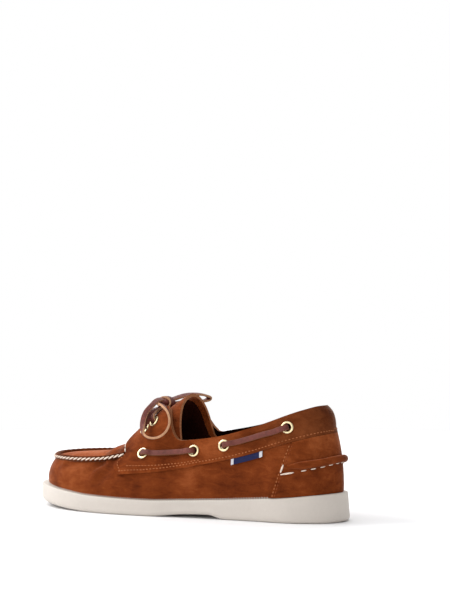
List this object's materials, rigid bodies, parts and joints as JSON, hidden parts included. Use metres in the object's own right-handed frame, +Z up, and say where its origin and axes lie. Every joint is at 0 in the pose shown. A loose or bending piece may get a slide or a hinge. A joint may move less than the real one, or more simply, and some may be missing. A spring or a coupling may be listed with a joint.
{
  "type": "boat shoe",
  "caption": "Left suede boat shoe with a moulded rubber sole, a raised moccasin seam, side lacing through metal eyelets and a tied bow.",
  "frame": {"origin": "middle of the shoe's box without the free lace, on the floor that it stands on", "axes": "+Y to the toe, +Z up, +X to the inner (medial) side of this left shoe"},
  "size_m": [0.1048, 0.298, 0.0998],
  "materials": {
    "suede": "napped suede, rust brown",
    "sole_rubber": "matt off-white moulded rubber",
    "lining": "dark brown smooth lining",
    "rawhide": "smooth red-brown rawhide with raw tan edges",
    "pale_brass": "pale polished brass",
    "label_cloth": "woven navy tape, white at both ends"
  },
  "bodies": {
    "root": {"outsole": "sole_rubber", "insole": "lining", "upper": "suede", "tongue": "suede", "collar_band": "suede", "heel_counter": "suede", "apron_seam": "suede", "heel_ridge": "suede", "side_label": "label_cloth", "eyelet_lateral_1": "pale_brass", "eyelet_lateral_2": "pale_brass", "eyelet_lateral_3": "pale_brass", "eyelet_lateral_4": "pale_brass", "eyelet_medial_1": "pale_brass", "eyelet_medial_2": "pale_brass", "eyelet_medial_3": "pale_brass", "eyelet_medial_4": "pale_brass", "eyelet_throat_lateral_1": "pale_brass", "eyelet_throat_lateral_2": "pale_brass", "eyelet_throat_medial_1": "pale_brass", "eyelet_throat_medial_2": "pale_brass", "lace_lateral_front": "rawhide", "lace_lateral_rear": "rawhide", "lace_medial_front": "rawhide", "lace_medial_rear": "rawhide", "lace_crossing": "rawhide", "lace_knot": "rawhide", "lace_loop_lateral": "rawhide", "lace_loop_medial": "rawhide", "lace_end_lateral": "rawhide", "lace_end_medial": "rawhide"}
  },
  "joints": []
}
